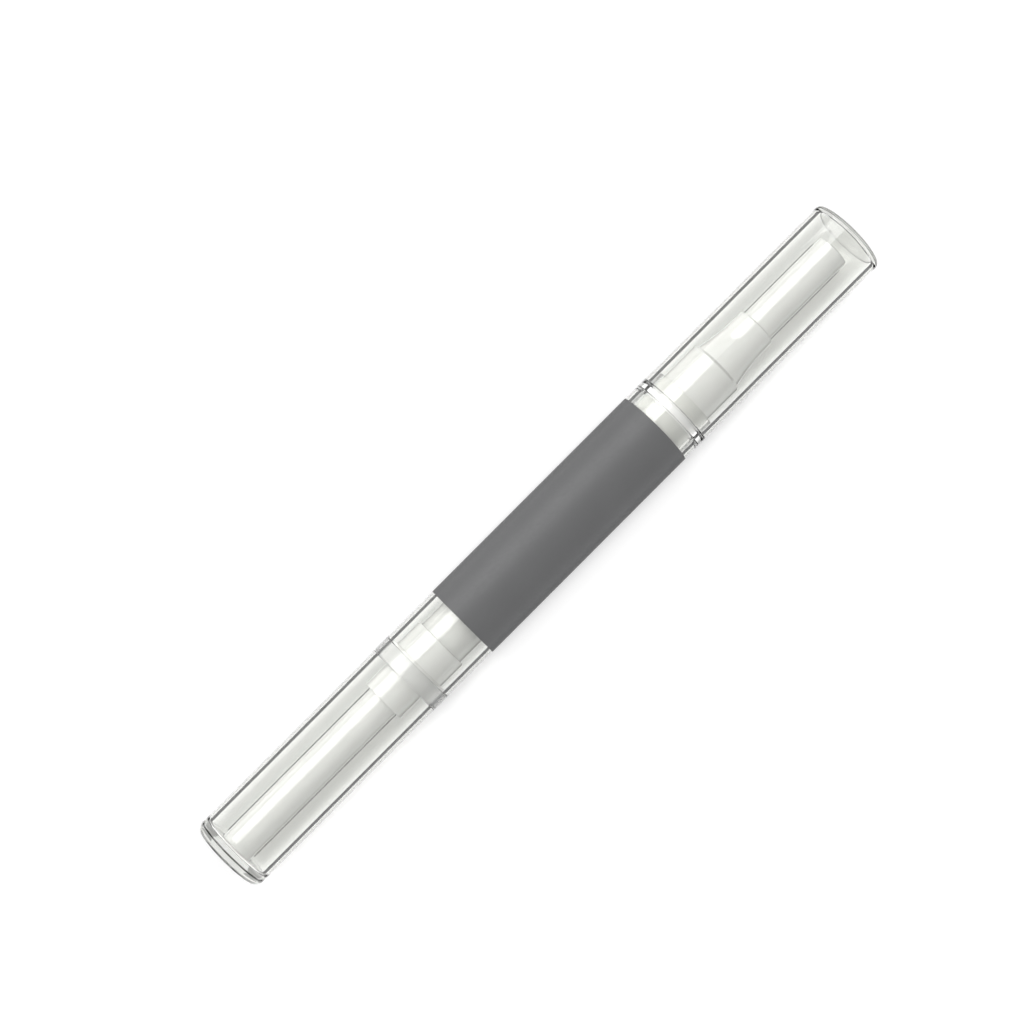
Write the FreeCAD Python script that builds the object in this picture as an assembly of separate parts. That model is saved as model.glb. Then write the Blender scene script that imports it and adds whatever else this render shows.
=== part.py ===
import FreeCAD, Part
import math
import os

from FreeCAD import Vector

# A nail oil pen that lies along X on the plane Z = 0, with its cap towards +X.
# Lengths are in millimetres. A station is a distance forward of the knob's rear face.
# Turning the knob clockwise, seen from behind, turns the screw rod through the fixed nut,
# and the rod pushes the piston and the oil forward into the brush.

# Casing
body_radius = 6.0
casing_wall = 0.95
edge_chamfer = 0.12

# Fits shared by all pieces
fit_gap = 0.02
running_gap = 0.06
end_gap = 0.1

# Clear knob
knob_length = 35.4
knob_floor = 2.0
knob_fillet = 1.2
knob_bore_fillet = 0.5
knob_boss_length = 3.0

# Clear ring at the seam behind the barrel
seam_ring_length = 2.5

# Clear barrel
barrel_length = 49.4

# Grey label, flush in a shallow recess of the barrel
label_rear_margin = 8.9
label_front_margin = 2.3
label_thickness = 0.08
label_seam = 0.5

# Clear collar that joins barrel, nozzle and cap
collar_groove = 0.25
collar_ring_length = 1.2
collar_spigot_length = 5.0
collar_neck_length = 2.2

# Clear cap
cap_length = 34.65
cap_end_wall = 0.75
cap_fillet = 0.6
cap_bore_fillet = 0.3

# White plug between knob and barrel
boss_length = 4.3
boss_wall = 0.86
holder_floor = 0.5
holder_lip_length = 0.4
spigot_length = 4.3
spigot_gap = 0.69
spigot_wall = 0.44

# Screw rod and its thread
rod_radius = 1.55
rod_flat = 1.0
rod_rear_gap = 0.4
rod_plain_length = 1.4
thread_lead = 2.0
thread_depth = 0.4
thread_root_width = 1.0
thread_crest_width = 0.6
thread_gap = 0.13
thread_sink = 0.25
thread_tooth_share = 0.36
rod_neck_radius = 0.7
rod_button_radius = 1.05
rod_button_length = 1.2

# White drive sleeve, which turns with the knob
sleeve_wall = 0.92
sleeve_key_length = 4.5
bead_setback = 2.3
bead_length = 0.8
bead_height = 0.25
ratchet_depth = 0.38
ratchet_count = 12
ratchet_land_share = 0.15

# White ring with spring pawls
click_ring_length = 1.6
click_ring_depth = 1.2
click_ring_wall = 0.5
pawl_count = 2
pawl_thickness = 0.35
pawl_nose = 0.4

# White nut
nut_length = 3.0
nut_lug_count = 2
nut_lug_share = 0.2

# Translucent reservoir and its soft washer
reservoir_setback = 8.4
reservoir_wall = 0.56
seal_length = 0.6
seal_overhang = 0.3

# White piston
piston_setback = 0.2
piston_length = 6.0
piston_lip_length = 1.0
piston_waist_depth = 0.35
piston_nose_length = 1.2
piston_nose_radius = 1.4
piston_socket_lip = 0.7

# White nozzle
nozzle_socket_length = 6.0
nozzle_funnel_length = 2.6
nozzle_base_reach = 8.1
nozzle_step_length = 0.4
nozzle_step_share = 0.34
nozzle_taper_length = 7.5
nozzle_rim_step = 0.53
nozzle_rim_length = 0.4
nozzle_rim_fillet = 0.3
tip_length = 3.0
tip_wall = 0.41

# Brush
ferrule_length = 11.0
ferrule_radius = 1.6
ferrule_wall = 0.45
ferrule_seat = 5.9
feed_length = 15.0
feed_radius = 0.45
feed_wall = 0.2
feed_seat = 2.5
tuft_setback = 2.0
tuft_end_gap = 1.2
tuft_swell = 0.22
tuft_tip_radius = 0.15
tuft_swell_share = 0.3

# White brush guard
guard_gap = 0.05
guard_end_gap = 2.4
guard_wall = 0.47
guard_end_wall = 0.6
guard_fillet = 0.25

# How far cuts run past the faces they open, and how close two equal places lie
overrun = 1.0
same_place = 1e-6
full_turn = 360

# Radii, from the casing inwards
bore_radius = body_radius - casing_wall
spigot_radius = bore_radius - spigot_gap
pocket_radius = spigot_radius - spigot_wall
reservoir_radius = pocket_radius - fit_gap
reservoir_bore = reservoir_radius - reservoir_wall
piston_radius = reservoir_bore - running_gap
seal_bore = reservoir_bore - seal_overhang

# Radii, from the screw rod outwards
rod_core = rod_radius - thread_depth
sleeve_bore = rod_radius + running_gap
sleeve_radius = sleeve_bore + sleeve_wall
boss_bore = sleeve_radius + running_gap
boss_radius = boss_bore + boss_wall
pawl_height = sleeve_radius + running_gap
click_ring_radius = pawl_height + click_ring_depth

# Radii, from the brush outwards
ferrule_bore = ferrule_radius - ferrule_wall
tip_bore = ferrule_radius + fit_gap
tip_radius = tip_bore + tip_wall
guard_bore = tip_radius + running_gap
guard_radius = guard_bore + guard_wall
rim_radius = guard_radius + nozzle_rim_step

# Stations of the casing
ring_rear = knob_length + end_gap
ring_front = ring_rear + seam_ring_length
barrel_front = ring_front + barrel_length
collar_rear = barrel_front + collar_groove
collar_front = collar_rear + collar_ring_length
cap_mouth = collar_front + end_gap
pen_length = cap_mouth + cap_length
label_rear = ring_front + label_rear_margin
label_front = barrel_front - label_front_margin

# Stations of the plug and what it holds
boss_rear = ring_rear - boss_length
lip_front = ring_front + holder_lip_length
spigot_front = lip_front + spigot_length
pocket_rear = ring_rear + holder_floor
click_front = pocket_rear + click_ring_length
nut_front = click_front + nut_length
reservoir_front = barrel_front - reservoir_setback
seal_front = reservoir_front + seal_length

# Stations of the drive sleeve, the rod and the piston
sleeve_front = click_front - end_gap
bead_rear = boss_rear + bead_setback
bead_front = bead_rear + bead_length
rod_rear = knob_floor + knob_boss_length + rod_rear_gap
piston_rear = spigot_front + piston_setback
piston_front = piston_rear + piston_length
rod_shoulder = piston_rear - end_gap
thread_rear = rod_rear + thread_lead
thread_front = rod_shoulder - rod_plain_length
button_rear = piston_rear + piston_socket_lip + end_gap
button_front = button_rear + rod_button_length

# Stations of the nozzle and the brush
nozzle_rear = reservoir_front - nozzle_socket_length
funnel_front = seal_front + nozzle_funnel_length
base_front = cap_mouth + nozzle_base_reach
taper_rear = base_front + nozzle_step_length
taper_front = taper_rear + nozzle_taper_length
rim_front = taper_front + nozzle_rim_length
tip_front = rim_front + tip_length
ferrule_rear = rim_front - ferrule_seat
ferrule_front = ferrule_rear + ferrule_length
feed_rear = ferrule_rear - feed_seat
feed_front = feed_rear + feed_length
guard_rear = rim_front + guard_gap
guard_front = pen_length - cap_end_wall - guard_end_gap
tuft_rear = ferrule_rear + tuft_setback
tuft_front = guard_front - guard_end_wall - tuft_end_gap

pen_axis = Vector(1, 0, 0)
origin = Vector(0, 0, 0)


def point(station, radius):
    """A point above the pen's axis."""
    return Vector(station, 0, radius)


def on_circle(station, radius, angle):
    """A point round the pen's axis, with the angle in degrees from +Y towards +Z."""
    turn = math.radians(angle)
    return Vector(station, radius * math.cos(turn), radius * math.sin(turn))


def spun(edges):
    """A solid of revolution about the pen's axis, from the edges of a closed outline."""
    face = Part.Face(Part.Wire(Part.__sortEdges__(edges)))
    return face.revolve(origin, pen_axis, full_turn)


def lines(outline):
    """Straight edges through a row of (station, radius) pairs."""
    points = [point(station, radius) for station, radius in outline]
    return [Part.makeLine(start, end) for start, end in zip(points, points[1:])]


def turned(outline):
    """A solid of revolution with a straight-sided outline, given as (station, radius) pairs."""
    return spun(lines(outline + outline[:1]))


def rod_between(rear, front, radius):
    """A plain cylinder on the pen's axis."""
    return Part.makeCylinder(radius, front - rear, Vector(rear, 0, 0), pen_axis)


def tube(rear, front, inner, outer):
    """A plain tube on the pen's axis."""
    return turned([(rear, inner), (rear, outer), (front, outer), (front, inner)])


def edged_tube(rear, front, inner, outer):
    """A tube with a small chamfer on both outer edges."""
    return turned([
        (rear, inner),
        (rear, outer - edge_chamfer),
        (rear + edge_chamfer, outer),
        (front - edge_chamfer, outer),
        (front, outer - edge_chamfer),
        (front, inner),
    ])


def slab(rear, front, half_width, reach):
    """A block centred on the pen's axis, with flat sides facing +Y and -Y."""
    corner = Vector(rear, -half_width, -reach)
    return Part.makeBox(front - rear, 2 * half_width, 2 * reach, corner)


def flatted(rear, front, radius, half_width):
    """A round bar with two flats."""
    return rod_between(rear, front, radius).common(slab(rear, front, half_width, radius + overrun))


def circle_edges(shape, station, radius):
    """The round edges of a shape at one station and radius."""
    found = []
    for edge in shape.Edges:
        if not isinstance(edge.Curve, Part.Circle):
            continue
        offset = abs(edge.Curve.Center.x - station)
        if offset < same_place and abs(edge.Curve.Radius - radius) < same_place:
            found.append(edge)
    return found


def rounded(shape, station, radius, fillet):
    """The shape with one round edge filleted."""
    return shape.makeFillet(fillet, circle_edges(shape, station, radius))


def thread_ridge(station, turns, inner, outer, inner_width, outer_width):
    """A stretch of a right-handed ridge whose middle lies under the axis at a station."""
    helix = Part.makeHelix(thread_lead, turns * thread_lead, outer)
    corners = [
        Vector(inner, 0, -inner_width / 2),
        Vector(outer, 0, -outer_width / 2),
        Vector(outer, 0, outer_width / 2),
        Vector(inner, 0, inner_width / 2),
    ]
    profile = Part.makePolygon(corners + corners[:1])
    ridge = Part.Wire(helix).makePipeShell([profile], True, True)
    ridge.rotate(origin, Vector(0, 1, 0), full_turn / 4)
    ridge.translate(Vector(station, 0, 0))
    return screwed(ridge, -turns / 2)


def screwed(shape, turns):
    """A copy of a shape, moved along the thread by a number of turns."""
    moved = shape.copy()
    moved.rotate(origin, pen_axis, turns * full_turn)
    moved.translate(Vector(turns * thread_lead, 0, 0))
    return moved


def width_at(radius):
    """The thread ridge's width where its sloping sides, run on, reach a radius."""
    slope = (thread_root_width - thread_crest_width) / thread_depth
    return thread_crest_width + slope * (rod_radius - radius)


def knob():
    """Clear cup with a thick floor and a flat-sided boss that drives the sleeve."""
    shell = turned([
        (0, 0),
        (0, body_radius),
        (knob_length - edge_chamfer, body_radius),
        (knob_length, body_radius - edge_chamfer),
        (knob_length, bore_radius),
        (knob_floor, bore_radius),
        (knob_floor, 0),
    ])
    shell = rounded(shell, 0, body_radius, knob_fillet)
    shell = rounded(shell, knob_floor, bore_radius, knob_bore_fillet)
    boss = flatted(knob_floor / 2, knob_floor + knob_boss_length, sleeve_bore - fit_gap, rod_flat)
    return shell.fuse(boss)


def ratchet_notch(index):
    """The gap between two saw teeth on the sleeve's front end, steep on the side that locks."""
    pitch = full_turn / ratchet_count
    start = index * pitch
    end = start + pitch * (1 - ratchet_land_share)
    root = sleeve_radius - ratchet_depth
    clear = sleeve_radius + overrun
    corners = [
        on_circle(pocket_rear, root, end),
        on_circle(pocket_rear, clear, end),
        on_circle(pocket_rear, clear, start),
        on_circle(pocket_rear, sleeve_radius, start),
    ]
    face = Part.Face(Part.makePolygon(corners + corners[:1]))
    return face.extrude(Vector(click_ring_length + overrun, 0, 0))


def drive_sleeve():
    """White tube with keyed ends, a snap bead and ratchet teeth."""
    bead_radius = sleeve_radius + bead_height
    body = turned([
        (knob_floor, 0),
        (knob_floor, sleeve_radius),
        (bead_rear, sleeve_radius),
        (bead_rear + bead_height, bead_radius),
        (bead_front, bead_radius),
        (bead_front + bead_height, sleeve_radius),
        (sleeve_front, sleeve_radius),
        (sleeve_front, 0),
    ])
    boss_front = knob_floor + knob_boss_length
    key_rear = sleeve_front - sleeve_key_length
    key_half = rod_flat + running_gap
    rear_key = flatted(knob_floor - overrun, boss_front, sleeve_bore, rod_flat + fit_gap)
    bore = rod_between(boss_front, key_rear, sleeve_bore)
    front_key = flatted(key_rear, sleeve_front + overrun, sleeve_bore, key_half)
    body = body.cut(rear_key.fuse([bore, front_key]))
    return body.cut([ratchet_notch(index) for index in range(ratchet_count)])


def rear_holder():
    """White plug with a rear boss for the sleeve, a wide flange and a spigot for the reservoir."""
    flange_radius = bore_radius - fit_gap
    body = turned([
        (boss_rear, boss_bore),
        (boss_rear, boss_radius),
        (ring_rear, boss_radius),
        (ring_rear, flange_radius),
        (lip_front, flange_radius),
        (lip_front, spigot_radius),
        (spigot_front, spigot_radius),
        (spigot_front, pocket_radius),
        (click_front, pocket_radius),
        (click_front, click_ring_radius + fit_gap),
        (pocket_rear, click_ring_radius + fit_gap),
        (pocket_rear, boss_bore),
    ])
    groove_radius = sleeve_radius + bead_height + running_gap
    groove_front = bead_front + bead_height + end_gap
    return body.cut(tube(bead_rear - end_gap, groove_front, sleeve_radius, groove_radius))


def seam_ring():
    """Clear ring round the plug's flange."""
    return edged_tube(ring_rear, ring_front, bore_radius, body_radius)


def click_ring():
    """White ring with spring pawls, drawn as they pass over a tooth's crest."""
    ring_bore = click_ring_radius - click_ring_wall
    ring = tube(pocket_rear, click_front, ring_bore, click_ring_radius)
    corner = Vector(pocket_rear, -pawl_nose, pawl_height)
    pawl = Part.makeBox(click_ring_length, pawl_nose + click_ring_radius, pawl_thickness, corner)
    pawl = pawl.common(rod_between(pocket_rear, click_front, click_ring_radius))
    pawls = []
    for index in range(pawl_count):
        copy = pawl.copy()
        copy.rotate(origin, pen_axis, index * full_turn / pawl_count)
        pawls.append(copy)
    return ring.fuse(pawls)


def thread_nut():
    """White nut with thread lugs that run with clearance between the rod's turns."""
    bore = rod_radius + thread_gap
    crest = rod_core + thread_gap
    root = bore + thread_sink
    crest_width = thread_lead - width_at(crest) - 2 * thread_gap
    root_width = thread_lead - width_at(root) - 2 * thread_gap
    between_turns = thread_rear + thread_lead / 2
    lug = thread_ridge(between_turns, nut_lug_share, crest, root, crest_width, root_width)
    middle = (click_front + nut_front) / 2
    first = math.floor(2 * (middle - between_turns) / thread_lead)
    inside = rod_between(click_front, nut_front, root + overrun)
    lugs = [screwed(lug, (first + index) / 2).common(inside) for index in range(nut_lug_count)]
    return tube(click_front, nut_front, bore, pocket_radius - fit_gap).fuse(lugs)


def screw_rod():
    """White rod with two flats, thread teeth between them and a button that snaps into the piston."""
    sunk = rod_core - thread_sink
    tooth = thread_ridge(
        thread_rear, thread_tooth_share, sunk, rod_radius, width_at(sunk), thread_crest_width
    )
    tooth = tooth.common(slab(rod_rear, rod_shoulder, rod_flat, rod_radius + overrun))
    half_turns = math.floor(2 * (thread_front - thread_rear) / thread_lead)
    teeth = [screwed(tooth, index / 2) for index in range(half_turns)]
    button = turned([
        (rod_shoulder, 0),
        (rod_shoulder, rod_neck_radius),
        (button_rear, rod_neck_radius),
        (button_rear, rod_button_radius),
        (button_front, rod_neck_radius),
        (button_front, 0),
    ])
    return flatted(rod_rear, rod_shoulder, rod_core, rod_flat).fuse(teeth + [button])


def piston():
    """White piston with a wiping lip at each end and a socket for the rod's button."""
    waist = piston_radius - piston_waist_depth
    lip_rear = piston_rear + piston_lip_length
    lip_front = piston_front - piston_nose_length - piston_lip_length
    body = turned([
        (piston_rear, 0),
        (piston_rear, piston_radius),
        (lip_rear, piston_radius),
        (lip_rear + piston_waist_depth, waist),
        (lip_front - piston_waist_depth, waist),
        (lip_front, piston_radius),
        (piston_front - piston_nose_length, piston_radius),
        (piston_front, piston_nose_radius),
        (piston_front, 0),
    ])
    socket = turned([
        (piston_rear - overrun, 0),
        (piston_rear - overrun, rod_neck_radius + running_gap),
        (piston_rear + piston_socket_lip, rod_neck_radius + running_gap),
        (piston_rear + piston_socket_lip, rod_button_radius + running_gap),
        (button_front + end_gap, rod_button_radius + running_gap),
        (button_front + end_gap, 0),
    ])
    return body.cut(socket)


def reservoir():
    """Translucent inner tube that holds the oil."""
    return tube(nut_front, reservoir_front, reservoir_bore, reservoir_radius)


def reservoir_seal():
    """Soft washer between the reservoir and the nozzle."""
    return tube(reservoir_front, seal_front, seal_bore, reservoir_radius)


def barrel():
    """Clear outer tube with a shallow recess for the label."""
    body = edged_tube(ring_front, barrel_front, bore_radius, body_radius)
    floor_radius = body_radius - label_thickness - fit_gap
    recess = tube(label_rear - fit_gap, label_front + fit_gap, floor_radius, body_radius + overrun)
    return body.cut(recess)


def label():
    """Grey wrap with a narrow seam along its underside."""
    wrap = tube(label_rear, label_front, body_radius - label_thickness, body_radius)
    corner = Vector(label_rear, -label_seam / 2, -body_radius - overrun)
    seam = Part.makeBox(label_front - label_rear, label_seam, body_radius + overrun, corner)
    return wrap.cut(seam)


def neck_collar():
    """Clear collar with a spigot in the barrel, a visible ring and a neck for the cap."""
    inner = spigot_radius + fit_gap
    spigot = bore_radius - fit_gap
    neck = bore_radius - running_gap
    neck_front = collar_front + collar_neck_length
    return turned([
        (barrel_front - collar_spigot_length, inner),
        (barrel_front - collar_spigot_length, spigot),
        (collar_rear, spigot),
        (collar_rear, body_radius - edge_chamfer),
        (collar_rear + edge_chamfer, body_radius),
        (collar_front - edge_chamfer, body_radius),
        (collar_front, body_radius - edge_chamfer),
        (collar_front, neck),
        (neck_front - edge_chamfer, neck),
        (neck_front, neck - edge_chamfer),
        (neck_front, inner),
    ])


def nozzle_outside():
    """The nozzle's outline from its rear face to its tip, with a concave arc for the taper."""
    shoulder = spigot_radius - nozzle_step_share * (spigot_radius - rim_radius)
    drop = shoulder - rim_radius
    arc_radius = (nozzle_taper_length ** 2 + drop ** 2) / (2 * drop)
    half_angle = math.asin(nozzle_taper_length / arc_radius) / 2
    arc_station = taper_front - arc_radius * math.sin(half_angle)
    arc_height = rim_radius + arc_radius * (1 - math.cos(half_angle))
    base = lines([
        (nozzle_rear, 0),
        (nozzle_rear, spigot_radius),
        (base_front, spigot_radius),
        (taper_rear, shoulder),
    ])
    taper = Part.Arc(
        point(taper_rear, shoulder),
        point(arc_station, arc_height),
        point(taper_front, rim_radius),
    )
    tip = lines([
        (taper_front, rim_radius),
        (rim_front, rim_radius),
        (rim_front, tip_radius),
        (tip_front, tip_radius),
        (tip_front, 0),
        (nozzle_rear, 0),
    ])
    outside = spun(base + [taper.toShape()] + tip)
    return rounded(outside, rim_front, rim_radius, nozzle_rim_fillet)


def nozzle():
    """White stepped nozzle with a socket for the reservoir, an oil channel and a seat for the brush."""
    channel = feed_radius + fit_gap
    inside = turned([
        (nozzle_rear - overrun, 0),
        (nozzle_rear - overrun, pocket_radius),
        (seal_front, pocket_radius),
        (seal_front, seal_bore),
        (funnel_front, channel),
        (ferrule_rear, channel),
        (ferrule_rear, tip_bore),
        (tip_front + overrun, tip_bore),
        (tip_front + overrun, 0),
    ])
    return nozzle_outside().cut(inside)


def brush_ferrule():
    """Short tube in the nozzle's tip that holds the bristles."""
    return tube(ferrule_rear, ferrule_front, ferrule_bore, ferrule_radius)


def feed_tube():
    """Thin tube that carries oil from the nozzle's channel into the bristles."""
    return tube(feed_rear, feed_front, feed_radius - feed_wall, feed_radius)


def brush_tuft():
    """Bundle of bristles round the feed tube, swelling in front of the ferrule and drawn to a tip."""
    bound = ferrule_bore - fit_gap
    swell_station = ferrule_front + tuft_swell_share * (tuft_front - ferrule_front)
    bulge = Part.Arc(
        point(ferrule_front, bound),
        point(swell_station, bound + tuft_swell),
        point(tuft_front, tuft_tip_radius),
    )
    outline = lines([(tuft_front, tuft_tip_radius), (tuft_front, 0), (tuft_rear, 0)])
    outline += lines([(tuft_rear, 0), (tuft_rear, bound), (ferrule_front, bound)])
    bundle = spun(outline + [bulge.toShape()])
    return bundle.cut(rod_between(tuft_rear - overrun, feed_front + fit_gap, feed_radius + fit_gap))


def brush_guard():
    """White closed tube that slides off the nozzle's tip."""
    body = rod_between(guard_rear, guard_front, guard_radius)
    body = rounded(body, guard_front, guard_radius, guard_fillet)
    return body.cut(rod_between(guard_rear - overrun, guard_front - guard_end_wall, guard_bore))


def cap():
    """Clear closed tube that pulls off the collar's neck."""
    bore_end = pen_length - cap_end_wall
    body = turned([
        (cap_mouth, bore_radius),
        (cap_mouth, body_radius - edge_chamfer),
        (cap_mouth + edge_chamfer, body_radius),
        (pen_length, body_radius),
        (pen_length, 0),
        (bore_end, 0),
        (bore_end, bore_radius),
    ])
    body = rounded(body, pen_length, body_radius, cap_fillet)
    return rounded(body, bore_end, bore_radius, cap_bore_fillet)


pieces = [
    knob,
    drive_sleeve,
    rear_holder,
    seam_ring,
    click_ring,
    thread_nut,
    screw_rod,
    piston,
    reservoir,
    reservoir_seal,
    barrel,
    label,
    neck_collar,
    nozzle,
    brush_ferrule,
    feed_tube,
    brush_tuft,
    brush_guard,
    cap,
]

# The pen's middle goes to X = 0, and its underside to Z = 0.
to_row_frame = Vector(-pen_length / 2, 0, body_radius)
os.makedirs("parts", exist_ok=True)
for piece in pieces:
    solid = piece().Solids[0]
    solid.translate(to_row_frame)
    solid.exportStep(f"parts/{piece.__name__}.step")
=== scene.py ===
import math
import random

import bpy
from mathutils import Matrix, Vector


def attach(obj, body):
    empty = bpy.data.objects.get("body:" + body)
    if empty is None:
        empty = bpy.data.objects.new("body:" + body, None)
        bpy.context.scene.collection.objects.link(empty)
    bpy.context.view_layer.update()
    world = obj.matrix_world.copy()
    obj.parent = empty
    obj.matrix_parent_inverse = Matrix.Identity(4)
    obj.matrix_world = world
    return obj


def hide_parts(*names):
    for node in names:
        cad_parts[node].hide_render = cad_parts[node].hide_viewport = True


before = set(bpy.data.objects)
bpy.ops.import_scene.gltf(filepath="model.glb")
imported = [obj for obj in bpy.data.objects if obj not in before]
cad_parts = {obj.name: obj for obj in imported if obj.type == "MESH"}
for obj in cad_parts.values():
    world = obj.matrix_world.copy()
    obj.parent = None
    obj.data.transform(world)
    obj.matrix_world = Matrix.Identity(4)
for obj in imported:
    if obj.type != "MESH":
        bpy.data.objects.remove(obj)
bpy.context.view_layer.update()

# Units: sizes are in millimetres, and a station is a distance forward of the knob's rear face
MM = 0.001
NEAR_ZERO = 1e-6

# Fits and softened edges
FIT_GAP = 0.02
RUNNING_GAP = 0.06
END_GAP = 0.1
EDGE = 0.12
INNER_EDGE = EDGE / 2
FINE_EDGE = 0.08
MOUTH_EDGE = 0.05

# Sizes of the casing
PEN_LENGTH = 123.6
BODY_RADIUS = 6.0
CASING_WALL = 0.95
BORE_RADIUS = BODY_RADIUS - CASING_WALL
PLUG_RADIUS = BORE_RADIUS - FIT_GAP
HALF_LENGTH = PEN_LENGTH / 2
AXIS_HEIGHT = BODY_RADIUS

# Sizes of the knob and the seam ring
KNOB_LENGTH = 35.4
KNOB_FLOOR = 2.0
KNOB_FILLET = 1.2
KNOB_BORE_FILLET = 0.5
KNOB_BOSS_LENGTH = 3.0
KNOB_BOSS_FRONT = KNOB_FLOOR + KNOB_BOSS_LENGTH
RING_LENGTH = 2.5
RING_REAR = KNOB_LENGTH + END_GAP
RING_FRONT = RING_REAR + RING_LENGTH

# Sizes of the barrel and its label
BARREL_FRONT = 87.4
LABEL_REAR = 46.9
LABEL_FRONT = 85.1
LABEL_THICKNESS = 0.08
LABEL_EDGE = 0.02
LABEL_SLIT = 4.78
LABEL_BORE = BODY_RADIUS - LABEL_THICKNESS
RECESS_REAR = LABEL_REAR - FIT_GAP
RECESS_FRONT = LABEL_FRONT + FIT_GAP
RECESS_RADIUS = LABEL_BORE - FIT_GAP

# Sizes of the neck collar and the cap
COLLAR_GAP = 0.25
COLLAR_LENGTH = 1.2
COLLAR_SPIGOT_LENGTH = 5.0
COLLAR_NECK_LENGTH = 2.2
COLLAR_REAR = BARREL_FRONT + COLLAR_GAP
COLLAR_FRONT = COLLAR_REAR + COLLAR_LENGTH
COLLAR_SPIGOT_REAR = BARREL_FRONT - COLLAR_SPIGOT_LENGTH
COLLAR_NECK_FRONT = COLLAR_FRONT + COLLAR_NECK_LENGTH
NECK_RADIUS = BORE_RADIUS - RUNNING_GAP
CAP_MOUTH = COLLAR_FRONT + END_GAP
CAP_END_WALL = 0.75
CAP_FILLET = 0.6
CAP_BORE_FILLET = 0.3
CAP_INNER_END = PEN_LENGTH - CAP_END_WALL

# Sizes of the rear holder
SPIGOT_RADIUS = 4.36
SPIGOT_WALL = 0.44
POCKET_RADIUS = SPIGOT_RADIUS - SPIGOT_WALL
HOLDER_REAR = 31.2
HOLDER_LIP_FRONT = 38.4
HOLDER_FRONT = 42.7
CLICK_POCKET_REAR = 36.0
CLICK_POCKET_FRONT = 37.6
NUT_FRONT = 40.6

# Sizes of the drive sleeve and its place in the holder
SLEEVE_BORE = 1.61
SLEEVE_WALL = 0.92
SLEEVE_RADIUS = SLEEVE_BORE + SLEEVE_WALL
SLEEVE_FRONT = CLICK_POCKET_FRONT - END_GAP
SLEEVE_KEY_LENGTH = 4.5
SLEEVE_KEY_REAR = SLEEVE_FRONT - SLEEVE_KEY_LENGTH
KNOB_BOSS_RADIUS = SLEEVE_BORE - FIT_GAP
BEAD_REAR = 33.5
BEAD_FRONT = 34.3
BEAD_HEIGHT = 0.25
BEAD_RADIUS = SLEEVE_RADIUS + BEAD_HEIGHT
GROOVE_REAR = BEAD_REAR - END_GAP
GROOVE_FRONT = BEAD_FRONT + BEAD_HEIGHT + END_GAP
GROOVE_RADIUS = BEAD_RADIUS + RUNNING_GAP
BOSS_BORE = SLEEVE_RADIUS + RUNNING_GAP
BOSS_WALL = 0.86
BOSS_RADIUS = BOSS_BORE + BOSS_WALL
CLICK_RING_DEPTH = 1.2
CLICK_POCKET_RADIUS = BOSS_BORE + CLICK_RING_DEPTH + FIT_GAP

# Flats and saw teeth of the drive; the step parts a keyed or toothed stretch from a round one
ROD_FLAT = 1.0
REAR_KEY_FLAT = ROD_FLAT + FIT_GAP
FRONT_KEY_FLAT = ROD_FLAT + RUNNING_GAP
TOOTH_COUNT = 12
TOOTH_DEPTH = 0.38
TOOTH_LAND_SHARE = 0.15
STEP = 0.01

# Sizes of the reservoir, its seal and the piston
RESERVOIR_WALL = 0.56
RESERVOIR_RADIUS = POCKET_RADIUS - FIT_GAP
RESERVOIR_BORE = RESERVOIR_RADIUS - RESERVOIR_WALL
RESERVOIR_FRONT = 79.0
SEAL_LENGTH = 0.6
SEAL_OVERHANG = 0.3
SEAL_FRONT = RESERVOIR_FRONT + SEAL_LENGTH
SEAL_BORE = RESERVOIR_BORE - SEAL_OVERHANG
PISTON_REAR = 42.9
PISTON_LENGTH = 6.0
PISTON_LIP = 1.0
PISTON_WAIST_DEPTH = 0.35
PISTON_NOSE_LENGTH = 1.2
PISTON_NOSE_RADIUS = 1.4
PISTON_NOSE_FILLET = 0.2
PISTON_EDGE = 0.1
PISTON_RADIUS = RESERVOIR_BORE - RUNNING_GAP
PISTON_WAIST = PISTON_RADIUS - PISTON_WAIST_DEPTH
PISTON_FRONT = PISTON_REAR + PISTON_LENGTH
PISTON_REAR_LIP = PISTON_REAR + PISTON_LIP
PISTON_NOSE = PISTON_FRONT - PISTON_NOSE_LENGTH
PISTON_FRONT_LIP = PISTON_NOSE - PISTON_LIP
SOCKET_LIP = 0.7
SOCKET_DEPTH = 2.1
SOCKET_MOUTH_RADIUS = 0.76
SOCKET_RADIUS = 1.11

# Sizes of the brush: feed tube, ferrule and bristles
FERRULE_REAR = 99.45
FERRULE_FRONT = 110.45
FERRULE_RADIUS = 1.6
FERRULE_WALL = 0.45
FEED_REAR = 96.95
FEED_FRONT = 111.95
FEED_RADIUS = 0.45
FEED_WALL = 0.2
FEED_EDGE = 0.03
BRISTLE_REAR = 101.45
BRISTLE_FRONT = 118.65
BRISTLE_RADIUS = 0.055
BRISTLE_BOUND = 1.06
BRISTLE_SWELL = 1.27
BRISTLE_TIP = 0.1
BRISTLE_AXIS_GAP = 0.02
FEED_ROOM = 0.53

# Sizes of the nozzle and the brush guard
NOZZLE_REAR = 73.0
NOZZLE_EDGE = 0.1
FUNNEL_LENGTH = 2.6
FUNNEL_FRONT = SEAL_FRONT + FUNNEL_LENGTH
FEED_HOLE_RADIUS = FEED_RADIUS + FIT_GAP
BASE_FRONT = 97.05
BASE_EDGE = 0.15
TAPER_REAR = 97.45
TAPER_FRONT = 104.95
SHOULDER_RADIUS = 3.93
TIP_WALL = 0.41
TIP_BORE = FERRULE_RADIUS + FIT_GAP
TIP_RADIUS = TIP_BORE + TIP_WALL
TIP_LENGTH = 3.0
RIM_LENGTH = 0.4
RIM_FILLET = 0.3
RIM_FRONT = TAPER_FRONT + RIM_LENGTH
TIP_FRONT = RIM_FRONT + TIP_LENGTH
GUARD_GAP = 0.05
GUARD_WALL = 0.47
GUARD_END_WALL = 0.6
GUARD_FILLET = 0.25
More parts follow.
